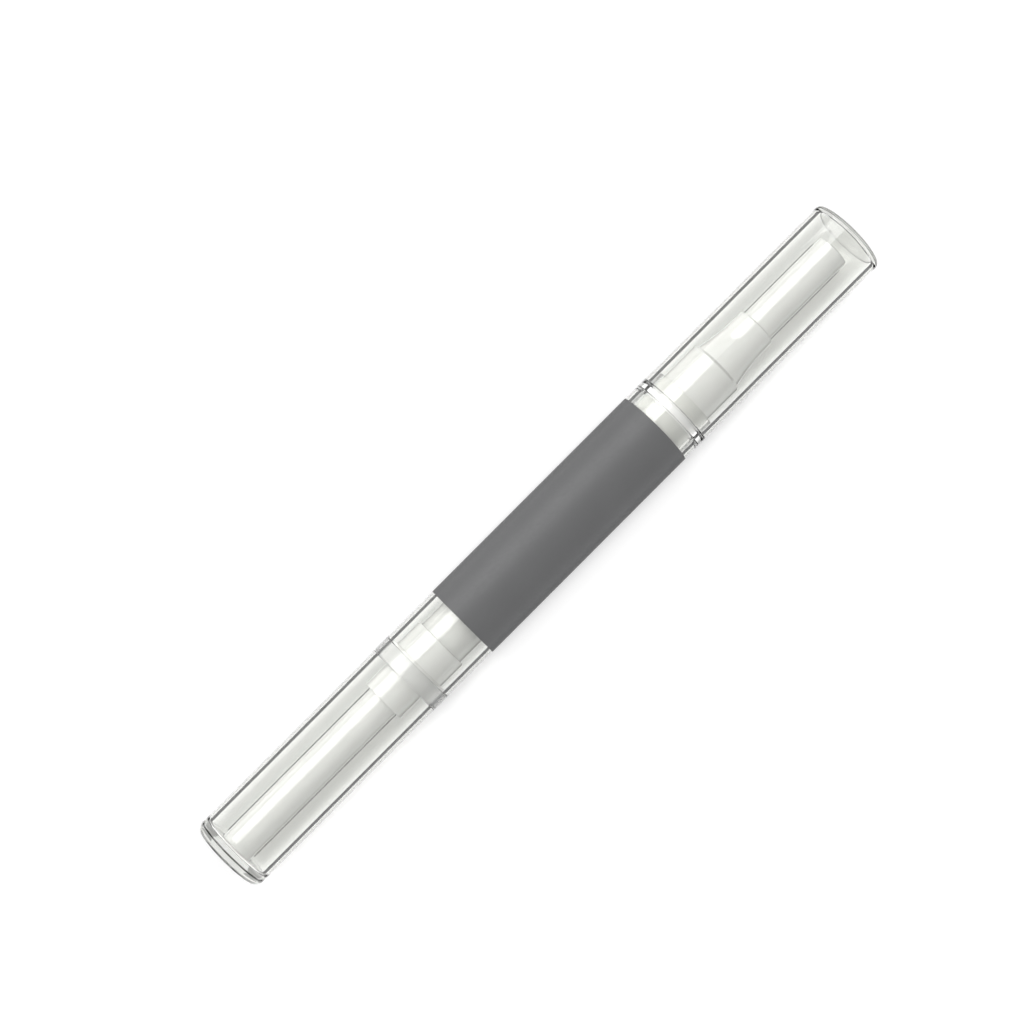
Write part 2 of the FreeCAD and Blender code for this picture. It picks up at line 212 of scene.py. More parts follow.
GUARD_BORE_FILLET = 0.15
GUARD_REAR = RIM_FRONT + GUARD_GAP
GUARD_FRONT = 120.45
GUARD_INNER_END = GUARD_FRONT - GUARD_END_WALL
GUARD_BORE = TIP_RADIUS + RUNNING_GAP
GUARD_RADIUS = GUARD_BORE + GUARD_WALL
RIM_STEP = 0.53
RIM_RADIUS = GUARD_RADIUS + RIM_STEP

# How finely the meshes are divided
ROUND_STEPS = 8
SUPPORT_SHARE = 0.12
SMOOTH_ANGLE = math.radians(32)
SHELL_SEGMENTS = 192
INNER_SEGMENTS = 128
FINE_SEGMENTS = 64
TAPER_STEPS = 24

# Light paths through several walls of clear plastic
BOUNCES = 24

scene = bpy.context.scene
scene.view_settings.view_transform = "Standard"
scene.cycles.max_bounces = BOUNCES
scene.cycles.transmission_bounces = BOUNCES
scene.cycles.transparent_max_bounces = BOUNCES


# Shapes

def softened(outline, closed):
    """The outline's points, with each corner that has a fillet turned into an arc."""
    points = []
    count = len(outline)
    for index, corner in enumerate(outline):
        here = Vector(corner[:2])
        fillet = corner[2] if len(corner) > 2 else 0
        at_open_end = index in (0, count - 1) and not closed
        if not fillet or at_open_end:
            points.append((here.x, here.y))
            continue
        back = (Vector(outline[index - 1][:2]) - here).normalized()
        ahead = (Vector(outline[(index + 1) % count][:2]) - here).normalized()
        half = back.angle(ahead) / 2
        reach = fillet / math.tan(half)
        middle = here + (back + ahead).normalized() * fillet / math.sin(half)
        start = here + back * reach
        end = here + ahead * reach
        spoke_a = start - middle
        spoke_b = end - middle
        sweep = spoke_a.angle(spoke_b)
        points.append(tuple(start + back * SUPPORT_SHARE * fillet))
        for step in range(ROUND_STEPS + 1):
            share = step / ROUND_STEPS
            mix_a = math.sin((1 - share) * sweep) / math.sin(sweep)
            mix_b = math.sin(share * sweep) / math.sin(sweep)
            points.append(tuple(middle + spoke_a * mix_a + spoke_b * mix_b))
        points.append(tuple(end + ahead * SUPPORT_SHARE * fillet))
    return points


def on_pen(x, reach, angle):
    """The place in the scene of a point at a station, a distance from the axis and an angle round it."""
    return (
        (x - HALF_LENGTH) * MM,
        reach * math.cos(angle) * MM,
        (AXIS_HEIGHT + reach * math.sin(angle)) * MM,
    )


def lathe(name, outline, segments, closed=True, slit=0.0, shape=None):
    """A piece turned about the pen's axis. A closed outline is a ring's section, and an open one
    starts and ends on the axis. slit is an angle left open on the underside, in degrees, and
    shape(x, radius, angle) can make the radius change round the axis."""
    opening = math.radians(slit)
    turn = 2 * math.pi - opening
    rays = segments + 1 if slit else segments
    verts = []
    rows = []
    for x, radius in softened(outline, closed):
        if radius < NEAR_ZERO:
            rows.append([len(verts)])
            verts.append(on_pen(x, 0, 0))
            continue
        row = []
        for ray in range(rays):
            angle = -math.pi / 2 + opening / 2 + turn * ray / segments
            reach = shape(x, radius, angle) if shape else radius
            row.append(len(verts))
            verts.append(on_pen(x, reach, angle))
        rows.append(row)
    faces = []
    pairs = list(zip(rows, rows[1:]))
    if closed:
        pairs.append((rows[-1], rows[0]))
    for low, high in pairs:
        for ray in range(segments):
            after = ray + 1 if slit else (ray + 1) % segments
            if len(low) == 1 and len(high) > 1:
                faces.append((low[0], high[after], high[ray]))
            elif len(high) == 1 and len(low) > 1:
                faces.append((low[ray], low[after], high[0]))
            elif len(low) > 1:
                faces.append((low[ray], low[after], high[after], high[ray]))
    if slit:
        faces.append([row[0] for row in rows])
        faces.append([row[-1] for row in reversed(rows)])
    return mesh_object(name, verts, faces)


def mesh_object(name, verts, faces):
    """A smooth-shaded object whose sharp corners stay sharp."""
    mesh = bpy.data.meshes.new(name)
    mesh.from_pydata(verts, [], faces)
    mesh.polygons.foreach_set("use_smooth", [True] * len(mesh.polygons))
    mesh.set_sharp_from_angle(angle=SMOOTH_ANGLE)
    mesh.update()
    piece = bpy.data.objects.new(name, mesh)
    scene.collection.objects.link(piece)
    return piece


def tube_outline(rear, front, inner, outer, fillet):
    """The section of a plain tube with softened edges."""
    return [
        (rear, inner, fillet / 2),
        (rear, outer, fillet),
        (front, outer, fillet),
        (front, inner, fillet / 2),
    ]


def place(piece, node, body, material):
    """Gives a piece its material and puts it in the place of a CAD node."""
    piece.data.materials.append(material)
    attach(piece, body)
    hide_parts(node)


def with_flats(radius, angle, half_width):
    """The radius of a round bar or hole, cut by two flats that face +Y and -Y."""
    side = abs(math.cos(angle))
    return min(radius, half_width / side) if side > NEAR_ZERO else radius


def knob_shape(x, radius, angle):
    """The knob's boss has two flats."""
    return with_flats(radius, angle, ROD_FLAT) if radius < SLEEVE_BORE else radius


def sleeve_shape(x, radius, angle):
    """The sleeve has keyed ends in its bore and saw teeth on its front end."""
    in_bore = radius < (SLEEVE_BORE + SLEEVE_RADIUS) / 2
    if in_bore and x < KNOB_BOSS_FRONT + STEP / 2:
        return with_flats(radius, angle, REAR_KEY_FLAT)
    if in_bore and x > SLEEVE_KEY_REAR - STEP / 2:
        return with_flats(radius, angle, FRONT_KEY_FLAT)
    if in_bore or x < CLICK_POCKET_REAR - STEP / 2:
        return radius
    share = (angle / (2 * math.pi) * TOOTH_COUNT) % 1
    along = share / (1 - TOOTH_LAND_SHARE)
    return radius - TOOTH_DEPTH * along if along < 1 else radius


def taper_points():
    """The nozzle's concave arc, which runs out level at its front end."""
    length = TAPER_FRONT - TAPER_REAR
    drop = SHOULDER_RADIUS - RIM_RADIUS
    arc = (length ** 2 + drop ** 2) / (2 * drop)
    points = []
    for step in range(TAPER_STEPS + 1):
        x = TAPER_REAR + length * step / TAPER_STEPS
        points.append((x, RIM_RADIUS + arc - math.sqrt(arc ** 2 - (TAPER_FRONT - x) ** 2)))
    return points


# Materials: noise scales are in waves to the metre, and heights in metres

PATTERN_LOW = 0.3
PATTERN_HIGH = 0.7
FLOW_SCALE = 90
FLOW_DETAIL = 2
FLOW_STRETCH = (0.25, 1, 1)
FLOW_BUMP = 0.02
FLOW_HEIGHT = 0.00005
HAZE_SCALE = 420
HAZE_DETAIL = 4
HAZE_STRETCH = (0.15, 1, 1)
CLOUD_SCALE = 160
GRAIN_DETAIL = 3
GRAIN_HEIGHT = 0.00002
GLOSS_COAT = {"Coat Weight": 1.0, "Coat IOR": 2.1, "Coat Roughness": 0.01}
SEE_THROUGH = {"IOR": 1.49, "Transmission Weight": 1.0}
MILKY = {"IOR": 1.49, "Transmission Weight": 0.35, **GLOSS_COAT}


def new_material(name):
    """An empty node material, with its node tree and its output."""
    material = bpy.data.materials.new(name)
    material.use_nodes = True
    tree = material.node_tree
    tree.nodes.clear()
    output = tree.nodes.new("ShaderNodeOutputMaterial")
    return material, tree, output


def noise(tree, scale, detail, stretch=(1, 1, 1)):
    """A noise pattern in the part's own coordinates, stretched along the axes."""
    place_in = tree.nodes.new("ShaderNodeTexCoord")
    mapping = tree.nodes.new("ShaderNodeMapping")
    mapping.inputs["Scale"].default_value = stretch
    tree.links.new(place_in.outputs["Object"], mapping.inputs["Vector"])
    pattern = tree.nodes.new("ShaderNodeTexNoise")
    pattern.inputs["Scale"].default_value = scale
    pattern.inputs["Detail"].default_value = detail
    tree.links.new(mapping.outputs["Vector"], pattern.inputs["Vector"])
    return pattern.outputs["Fac"]


def ranged(tree, source, low, high):
    """A value from a pattern, spread between two limits."""
    spread = tree.nodes.new("ShaderNodeMapRange")
    spread.inputs["From Min"].default_value = PATTERN_LOW
    spread.inputs["From Max"].default_value = PATTERN_HIGH
    spread.inputs["To Min"].default_value = low
    spread.inputs["To Max"].default_value = high
    tree.links.new(source, spread.inputs["Value"])
    return spread.outputs["Result"]


def coloured(tree, source, dark, light):
    """A colour from a pattern, between two colours."""
    ramp = tree.nodes.new("ShaderNodeValToRGB")
    ramp.color_ramp.elements[0].position = PATTERN_LOW
    ramp.color_ramp.elements[0].color = (*dark, 1)
    ramp.color_ramp.elements[1].position = PATTERN_HIGH
    ramp.color_ramp.elements[1].color = (*light, 1)
    tree.links.new(source, ramp.inputs["Fac"])
    return ramp.outputs["Color"]


def bumped(tree, source, strength, distance):
    """A normal from a pattern of fine height."""
    bump = tree.nodes.new("ShaderNodeBump")
    bump.inputs["Strength"].default_value = strength
    bump.inputs["Distance"].default_value = distance
    tree.links.new(source, bump.inputs["Height"])
    return bump.outputs["Normal"]


def principled(tree, settings):
    """The surface shader, with the sockets in settings set to their values."""
    shader = tree.nodes.new("ShaderNodeBsdfPrincipled")
    for socket, value in settings.items():
        shader.inputs[socket].default_value = value
    return shader


def mixed(tree, share, first, second):
    """The first shader where the share is 0 and the second where it is 1."""
    mix = tree.nodes.new("ShaderNodeMixShader")
    tree.links.new(share, mix.inputs["Fac"])
    tree.links.new(first, mix.inputs[1])
    tree.links.new(second, mix.inputs[2])
    return mix.outputs["Shader"]


def clear_plastic(name, dark, light, rough, through, settings):
    """Polished see-through plastic with faint flow marks, which lets the lamps through."""
    material, tree, output = new_material(name)
    shader = principled(tree, settings)
    flow = noise(tree, FLOW_SCALE, FLOW_DETAIL, FLOW_STRETCH)
    haze = noise(tree, HAZE_SCALE, HAZE_DETAIL, HAZE_STRETCH)
    tree.links.new(coloured(tree, flow, dark, light), shader.inputs["Base Color"])
    tree.links.new(ranged(tree, haze, *rough), shader.inputs["Roughness"])
    tree.links.new(bumped(tree, flow, FLOW_BUMP, FLOW_HEIGHT), shader.inputs["Normal"])
    see = tree.nodes.new("ShaderNodeBsdfTransparent")
    see.inputs["Color"].default_value = (*through, 1)
    path = tree.nodes.new("ShaderNodeLightPath")
    surface = mixed(tree, path.outputs["Is Shadow Ray"], shader.outputs["BSDF"], see.outputs["BSDF"])
    tree.links.new(surface, output.inputs["Surface"])
    return material


def solid_plastic(name, dark, light, rough, grain, bump, settings):
    """Opaque plastic, rubber or film with a fine surface grain."""
    material, tree, output = new_material(name)
    shader = principled(tree, settings)
    cloud = noise(tree, CLOUD_SCALE, GRAIN_DETAIL)
    fine = noise(tree, grain, GRAIN_DETAIL)
    tree.links.new(coloured(tree, cloud, dark, light), shader.inputs["Base Color"])
    tree.links.new(ranged(tree, fine, *rough), shader.inputs["Roughness"])
    tree.links.new(bumped(tree, fine, bump, GRAIN_HEIGHT), shader.inputs["Normal"])
    tree.links.new(shader.outputs["BSDF"], output.inputs["Surface"])
    return material


clear = clear_plastic(
    "clear_plastic",
    dark=(0.855, 0.86, 0.84),
    light=(0.87, 0.875, 0.855),
    rough=(0.0, 0.03),
    through=(0.95, 0.95, 0.94),
    settings=SEE_THROUGH,
)
crystal = clear_plastic(
    "crystal_plastic",
    dark=(0.965, 0.967, 0.955),
    light=(0.975, 0.977, 0.966),
    rough=(0.0, 0.02),
    through=(0.97, 0.97, 0.965),
    settings=SEE_THROUGH,
)
satin = clear_plastic(
    "satin_plastic",
    dark=(0.80, 0.805, 0.79),
    light=(0.83, 0.835, 0.82),
    rough=(0.1, 0.2),
    through=(0.9, 0.9, 0.89),
    settings=SEE_THROUGH,
)
frosted = clear_plastic(
    "frosted_plastic",
    dark=(0.95, 0.952, 0.94),
    light=(0.97, 0.972, 0.96),
    rough=(0.06, 0.12),
    through=(0.97, 0.97, 0.96),
    settings=MILKY,
)
white = solid_plastic(
    "white_plastic",
    dark=(0.86, 0.86, 0.848),
    light=(0.9, 0.9, 0.89),
    rough=(0.05, 0.1),
    grain=900,
    bump=0.05,
    settings={"IOR": 1.5, **GLOSS_COAT},
)
film = solid_plastic(
    "label_film",
    dark=(0.114, 0.115, 0.117),
    light=(0.123, 0.124, 0.126),
    rough=(0.42, 0.55),
    grain=2600,
    bump=0.25,
    settings={"IOR": 1.45},
)
rubber = solid_plastic(
    "soft_seal",
    dark=(0.66, 0.66, 0.64),
    light=(0.74, 0.74, 0.72),
    rough=(0.55, 0.7),
    grain=1500,
    bump=0.2,
    settings={"IOR": 1.5},
)
nylon = solid_plastic(
    "nylon_bristle",
    dark=(0.78, 0.76, 0.72),
    light=(0.88, 0.87, 0.84),
    rough=(0.25, 0.4),
    grain=3000,
    bump=0.1,
    settings={"IOR": 1.53},
)


# Casing

knob = lathe("knob_clear", [
    (0, 0),
    (0, BODY_RADIUS, KNOB_FILLET),
    (KNOB_LENGTH, BODY_RADIUS, EDGE),
    (KNOB_LENGTH, BORE_RADIUS, INNER_EDGE),
    (KNOB_FLOOR, BORE_RADIUS, KNOB_BORE_FILLET),
    (KNOB_FLOOR, KNOB_BOSS_RADIUS),
    (KNOB_BOSS_FRONT, KNOB_BOSS_RADIUS),
    (KNOB_BOSS_FRONT, 0),
], SHELL_SEGMENTS, closed=False, shape=knob_shape)
place(knob, "knob", "knob", clear)

ring_section = tube_outline(RING_REAR, RING_FRONT, BORE_RADIUS, BODY_RADIUS, EDGE)
seam_ring = lathe("seam_ring_clear", ring_section, SHELL_SEGMENTS)
place(seam_ring, "seam_ring", "pen_body", satin)

barrel = lathe("barrel_clear", [
    (RING_FRONT, BORE_RADIUS, INNER_EDGE),
    (RING_FRONT, BODY_RADIUS, EDGE),
    (RECESS_REAR, BODY_RADIUS),
    (RECESS_REAR, RECESS_RADIUS),
    (RECESS_FRONT, RECESS_RADIUS),
    (RECESS_FRONT, BODY_RADIUS),
    (BARREL_FRONT, BODY_RADIUS, EDGE),
    (BARREL_FRONT, BORE_RADIUS, INNER_EDGE),
], SHELL_SEGMENTS)
place(barrel, "barrel", "pen_body", clear)

label_section = tube_outline(LABEL_REAR, LABEL_FRONT, LABEL_BORE, BODY_RADIUS, LABEL_EDGE)
label = lathe("label_wrap", label_section, SHELL_SEGMENTS, slit=LABEL_SLIT)
place(label, "label", "pen_body", film)

neck_collar = lathe("neck_collar_clear", [
    (COLLAR_SPIGOT_REAR, SPIGOT_RADIUS + FIT_GAP, MOUTH_EDGE),
    (COLLAR_SPIGOT_REAR, PLUG_RADIUS, FINE_EDGE),
    (COLLAR_REAR, PLUG_RADIUS),
    (COLLAR_REAR, BODY_RADIUS, EDGE),
    (COLLAR_FRONT, BODY_RADIUS, EDGE),
    (COLLAR_FRONT, NECK_RADIUS),
    (COLLAR_NECK_FRONT, NECK_RADIUS, EDGE),
    (COLLAR_NECK_FRONT, SPIGOT_RADIUS + FIT_GAP, MOUTH_EDGE),
], SHELL_SEGMENTS)
place(neck_collar, "neck_collar", "pen_body", crystal)

cap = lathe("cap_clear", [
    (CAP_INNER_END, 0),
    (CAP_INNER_END, BORE_RADIUS, CAP_BORE_FILLET),
    (CAP_MOUTH, BORE_RADIUS, INNER_EDGE),
    (CAP_MOUTH, BODY_RADIUS, EDGE),
    (PEN_LENGTH, BODY_RADIUS, CAP_FILLET),
    (PEN_LENGTH, 0),
], SHELL_SEGMENTS, closed=False)
place(cap, "cap", "cap", clear)


# Drive and reservoir

sleeve = lathe("drive_sleeve_white", [
    (KNOB_FLOOR, SLEEVE_BORE),
    (KNOB_FLOOR, SLEEVE_RADIUS, FINE_EDGE),
    (BEAD_REAR, SLEEVE_RADIUS),
    (BEAD_REAR + BEAD_HEIGHT, BEAD_RADIUS),
    (BEAD_FRONT, BEAD_RADIUS),
    (BEAD_FRONT + BEAD_HEIGHT, SLEEVE_RADIUS),
    (CLICK_POCKET_REAR - STEP, SLEEVE_RADIUS),
    (CLICK_POCKET_REAR, SLEEVE_RADIUS),
    (SLEEVE_FRONT, SLEEVE_RADIUS),
    (SLEEVE_FRONT, SLEEVE_BORE),
    (SLEEVE_KEY_REAR, SLEEVE_BORE),
    (SLEEVE_KEY_REAR - STEP, SLEEVE_BORE),
    (KNOB_BOSS_FRONT + STEP, SLEEVE_BORE),
    (KNOB_BOSS_FRONT, SLEEVE_BORE),
], INNER_SEGMENTS, shape=sleeve_shape)
place(sleeve, "drive_sleeve", "knob", white)

holder = lathe("rear_holder_white", [
    (HOLDER_REAR, BOSS_BORE),
    (HOLDER_REAR, BOSS_RADIUS, EDGE),
    (RING_REAR, BOSS_RADIUS),
    (RING_REAR, PLUG_RADIUS, FINE_EDGE),
    (HOLDER_LIP_FRONT, PLUG_RADIUS, FINE_EDGE),
    (HOLDER_LIP_FRONT, SPIGOT_RADIUS),
    (HOLDER_FRONT, SPIGOT_RADIUS, EDGE),
    (HOLDER_FRONT, POCKET_RADIUS),
    (CLICK_POCKET_FRONT, POCKET_RADIUS),
    (CLICK_POCKET_FRONT, CLICK_POCKET_RADIUS),
    (CLICK_POCKET_REAR, CLICK_POCKET_RADIUS),
    (CLICK_POCKET_REAR, BOSS_BORE),
    (GROOVE_FRONT, BOSS_BORE),
    (GROOVE_FRONT, GROOVE_RADIUS),
    (GROOVE_REAR, GROOVE_RADIUS),
    (GROOVE_REAR, BOSS_BORE),
], INNER_SEGMENTS)
place(holder, "rear_holder", "pen_body", white)

piston = lathe("piston_white", [
    (PISTON_REAR + SOCKET_DEPTH, 0),
    (PISTON_REAR + SOCKET_DEPTH, SOCKET_RADIUS),
    (PISTON_REAR + SOCKET_LIP, SOCKET_RADIUS),
    (PISTON_REAR + SOCKET_LIP, SOCKET_MOUTH_RADIUS),
    (PISTON_REAR, SOCKET_MOUTH_RADIUS),
    (PISTON_REAR, PISTON_RADIUS, PISTON_EDGE),
    (PISTON_REAR_LIP, PISTON_RADIUS, PISTON_EDGE),
    (PISTON_REAR_LIP + PISTON_WAIST_DEPTH, PISTON_WAIST, PISTON_EDGE),
    (PISTON_FRONT_LIP - PISTON_WAIST_DEPTH, PISTON_WAIST, PISTON_EDGE),
    (PISTON_FRONT_LIP, PISTON_RADIUS, PISTON_EDGE),
    (PISTON_NOSE, PISTON_RADIUS, PISTON_EDGE),
    (PISTON_FRONT, PISTON_NOSE_RADIUS, PISTON_NOSE_FILLET),
    (PISTON_FRONT, 0),
], INNER_SEGMENTS, closed=False)
place(piston, "piston", "piston", white)

reservoir_section = tube_outline(NUT_FRONT, RESERVOIR_FRONT, RESERVOIR_BORE, RESERVOIR_RADIUS, INNER_EDGE)
reservoir = lathe("reservoir_frosted", reservoir_section, INNER_SEGMENTS)
place(reservoir, "reservoir", "pen_body", frosted)

seal_section = tube_outline(RESERVOIR_FRONT, SEAL_FRONT, SEAL_BORE, RESERVOIR_RADIUS, FINE_EDGE)
seal = lathe("reservoir_seal_soft", seal_section, INNER_SEGMENTS)
place(seal, "reservoir_seal", "pen_body", rubber)


# Nozzle and brush guard

nozzle = lathe("nozzle_white", [
    (NOZZLE_REAR, POCKET_RADIUS),
    (NOZZLE_REAR, SPIGOT_RADIUS, NOZZLE_EDGE),
    (BASE_FRONT, SPIGOT_RADIUS, BASE_EDGE),
    *taper_points(),
    (RIM_FRONT, RIM_RADIUS, RIM_FILLET),
    (RIM_FRONT, TIP_RADIUS),
    (TIP_FRONT, TIP_RADIUS, NOZZLE_EDGE),
    (TIP_FRONT, TIP_BORE, MOUTH_EDGE),
    (FERRULE_REAR, TIP_BORE),
    (FERRULE_REAR, FEED_HOLE_RADIUS),
    (FUNNEL_FRONT, FEED_HOLE_RADIUS),
    (SEAL_FRONT, SEAL_BORE),
    (SEAL_FRONT, POCKET_RADIUS),
], INNER_SEGMENTS)
place(nozzle, "nozzle", "pen_body", white)

guard = lathe("brush_guard_white", [
    (GUARD_INNER_END, 0),
    (GUARD_INNER_END, GUARD_BORE, GUARD_BORE_FILLET),
    (GUARD_REAR, GUARD_BORE, MOUTH_EDGE),
    (GUARD_REAR, GUARD_RADIUS, FINE_EDGE),
    (GUARD_FRONT, GUARD_RADIUS, GUARD_FILLET),
    (GUARD_FRONT, 0),
], INNER_SEGMENTS, closed=False)
place(guard, "brush_guard", "brush_guard", white)


# Brush

ferrule_bore = FERRULE_RADIUS - FERRULE_WALL
ferrule_section = tube_outline(FERRULE_REAR, FERRULE_FRONT, ferrule_bore, FERRULE_RADIUS, FINE_EDGE)
ferrule = lathe("brush_ferrule_white", ferrule_section, FINE_SEGMENTS)
place(ferrule, "brush_ferrule", "pen_body", white)

feed_section = tube_outline(FEED_REAR, FEED_FRONT, FEED_RADIUS - FEED_WALL, FEED_RADIUS, FEED_EDGE)
feed = lathe("feed_tube_frosted", feed_section, FINE_SEGMENTS)
place(feed, "feed_tube", "pen_body", frosted)

BRISTLE_SIDES = 6
BRISTLE_STEPS = 10
BRISTLE_RINGS = 9
BRISTLE_SEED = 7
FEWEST_IN_RING = 8
RING_PITCH_SHARE = 2.3
RING_FILL_SHARE = 0.8
SWELL_SHARE = 0.3
TIP_POWER = 0.8
TIP_SCATTER_SHARE = 0.16
INNER_SCATTER_SHARE = 0.12
CLOSING_RATE = 1.4
PLACE_SCATTER = 0.05
SWAY_SCATTER = 0.06
THINNING_SHARE = 0.55
THINNING_ROW = 4


def bristle_outline(share):
    """How far out the outermost bristles stand, from the ferrule's mouth to the brush's tip."""
    if share < SWELL_SHARE:
        rise = math.sin(share / SWELL_SHARE * math.pi / 2)
        return BRISTLE_BOUND + (BRISTLE_SWELL - BRISTLE_BOUND) * rise
    fall = math.cos((share - SWELL_SHARE) / (1 - SWELL_SHARE) * math.pi / 2) ** TIP_POWER
    return BRISTLE_TIP + (BRISTLE_SWELL - BRISTLE_TIP) * fall


def bristle_paths(draw):
    """The middle lines of the bristles, packed in rings round the feed tube."""
    paths = []
    pitch = RING_PITCH_SHARE * BRISTLE_RADIUS
    for ring in range(BRISTLE_RINGS):
        depth = (ring + 0.5) / BRISTLE_RINGS
        start = FEED_ROOM + (BRISTLE_BOUND - BRISTLE_RADIUS - FEED_ROOM) * depth
        number = max(FEWEST_IN_RING, round(2 * math.pi * start / pitch * RING_FILL_SHARE))
        for index in range(number):
            angle = 2 * math.pi * (index + 0.5 * (ring % 2)) / number
            angle += draw.uniform(-PLACE_SCATTER, PLACE_SCATTER)
            tip = 1 - TIP_SCATTER_SHARE * draw.random()
            tip -= INNER_SCATTER_SHARE * (1 - depth) * draw.random()
            sway = draw.uniform(-SWAY_SCATTER, SWAY_SCATTER)
            path = [(BRISTLE_REAR, start, angle)]
            for step in range(BRISTLE_STEPS + 1):
                share = tip * step / BRISTLE_STEPS
                x = FERRULE_FRONT + share * (BRISTLE_FRONT - FERRULE_FRONT)
                inner = FEED_ROOM * max(0.0, 1 - share * CLOSING_RATE)
                outer = bristle_outline(share) - BRISTLE_RADIUS
                reach = inner + (outer - inner) * depth
                path.append((x, max(BRISTLE_AXIS_GAP, reach), angle + sway * share))
            paths.append(path)
    return paths


def bristles(name):
    """A bundle of fine tapering bristles."""
    verts = []
    faces = []
    for path in bristle_paths(random.Random(BRISTLE_SEED)):
        first = len(verts)
        last_row = len(path) - 1
        for row, (x, reach, angle) in enumerate(path):
            thinned = max(0, row - THINNING_ROW) / (last_row - THINNING_ROW)
            thick = BRISTLE_RADIUS * (1 - THINNING_SHARE * thinned)
            middle = Vector((0, reach * math.cos(angle), reach * math.sin(angle)))
            for side in range(BRISTLE_SIDES):
                turn = 2 * math.pi * side / BRISTLE_SIDES
                at = middle + Vector((0, math.cos(turn), math.sin(turn))) * thick
                verts.append(((x - HALF_LENGTH) * MM, at.y * MM, (AXIS_HEIGHT + at.z) * MM))
        for row in range(last_row):
            low = first + row * BRISTLE_SIDES
            high = low + BRISTLE_SIDES
            for side in range(BRISTLE_SIDES):
                after = (side + 1) % BRISTLE_SIDES
                faces.append((low + side, low + after, high + after, high + side))
        last = first + last_row * BRISTLE_SIDES
        faces.append([first + side for side in reversed(range(BRISTLE_SIDES))])
        faces.append([last + side for side in range(BRISTLE_SIDES)])
    return mesh_object(name, verts, faces)


tuft = bristles("brush_tuft_bristles")
place(tuft, "brush_tuft", "pen_body", nylon)


# Pieces of the drive that keep their solids

for node in ("click_ring", "thread_nut", "screw_rod"):
    hidden_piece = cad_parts[node]
    hidden_piece.data.materials.clear()
    hidden_piece.data.materials.append(white)


# Stage: a white floor with a painted shade under the pen, and cards that draw the dark lines along the
# edges of glossy and clear pieces as painted reflections and painted shadow lines

WHITE = (1, 1, 1, 1)
HALF_BOUNCE = 0.5
FLOOR_HALF = 3000.0
FLOOR_COLOUR = (0.8, 0.8, 0.8)
# The floor glows less under the pen than beside it: a painted shade under the pen
GLOW_UNDER_PAINTED_SHADE = 0.28
GLOW_BESIDE = 0.52
GLOW_INNER = 5.0
GLOW_OUTER = 8.0
# Dark cards seen only after a reflection, which paint dark reflections: the dark lines along the inner
# walls of the clear tubes and at the cap's end
FLAG_SHADE = 0.02
FLAG_INNER = 10.3
FLAG_WIDTH = 5.0
FLAG_END_GAP = 10.0
FLAG_HEIGHT = 0.05
# Grey cards under the knob's rear corners, seen only through the clear knob: a painted contact shadow
# that darkens the knob's end corners
CORNER_SHADE = 0.5
CORNER_REAR = 63.4
CORNER_FRONT = 60.4
CORNER_INNER = 1.0
CORNER_OUTER = 1.7
CAP_FLAG_GAP = 8.0
CAP_FLAG_HALF = 16.0
CAP_FLAG_LOW = 0.2
CAP_FLAG_HIGH = 12.0
# Grey cards on the floor beside the drive sleeve and the brush guard, seen only through clear plastic:
# painted shadow lines along the edges of those white pieces
EDGE_SHADE = 0.2
EDGE_INNER = 2.75
EDGE_OUTER = 3.2
EDGE_SETBACK = 0.15
EDGE_SPANS = {
    "sleeve": (KNOB_FLOOR, HOLDER_REAR),
    "guard": (GUARD_REAR, GUARD_FRONT - EDGE_SETBACK),
}


def math_node(tree, operation, first, second=None):
    """The result of a sum on one or two sockets. The second can be a number too."""
    node = tree.nodes.new("ShaderNodeMath")
    node.operation = operation
    tree.links.new(first, node.inputs[0])
    if isinstance(second, float):
        node.inputs[1].default_value = second
    elif second is not None:
        tree.links.new(second, node.inputs[1])
    return node.outputs["Value"]


def seen_directly(tree):
    """1 for what is seen by itself, in gloss or through clear plastic, and 0 for diffuse light."""
    path = tree.nodes.new("ShaderNodeLightPath")
    seen = path.outputs["Is Camera Ray"]
    for name in ("Is Glossy Ray", "Is Transmission Ray"):
        seen = math_node(tree, "MAXIMUM", seen, path.outputs[name])
    unscattered = math_node(tree, "LESS_THAN", path.outputs["Diffuse Depth"], HALF_BOUNCE)
    return math_node(tree, "MULTIPLY", seen, unscattered)


def floor_material():
    """A white floor that takes shadows, and glows a little more beside the pen than under it; the weaker
    glow under the pen is a painted shade.
    """
    material, tree, output = new_material("floor_white")
    matte = tree.nodes.new("ShaderNodeBsdfDiffuse")
    matte.inputs["Color"].default_value = (*FLOOR_COLOUR, 1)
    spot = tree.nodes.new("ShaderNodeNewGeometry")
    along = tree.nodes.new("ShaderNodeSeparateXYZ")
    tree.links.new(spot.outputs["Position"], along.inputs["Vector"])
    spread = tree.nodes.new("ShaderNodeMapRange")
    spread.interpolation_type = "SMOOTHSTEP"
    spread.inputs["From Min"].default_value = GLOW_INNER * MM
    spread.inputs["From Max"].default_value = GLOW_OUTER * MM
    spread.inputs["To Min"].default_value = GLOW_UNDER_PAINTED_SHADE
    spread.inputs["To Max"].default_value = GLOW_BESIDE
    tree.links.new(math_node(tree, "ABSOLUTE", along.outputs["Y"]), spread.inputs["Value"])
    glow = tree.nodes.new("ShaderNodeEmission")
    strength = math_node(tree, "MULTIPLY", seen_directly(tree), spread.outputs["Result"])
    tree.links.new(strength, glow.inputs["Strength"])
    both = tree.nodes.new("ShaderNodeAddShader")
    tree.links.new(matte.outputs["BSDF"], both.inputs[0])
    tree.links.new(glow.outputs["Emission"], both.inputs[1])
    tree.links.new(both.outputs["Shader"], output.inputs["Surface"])
    return material


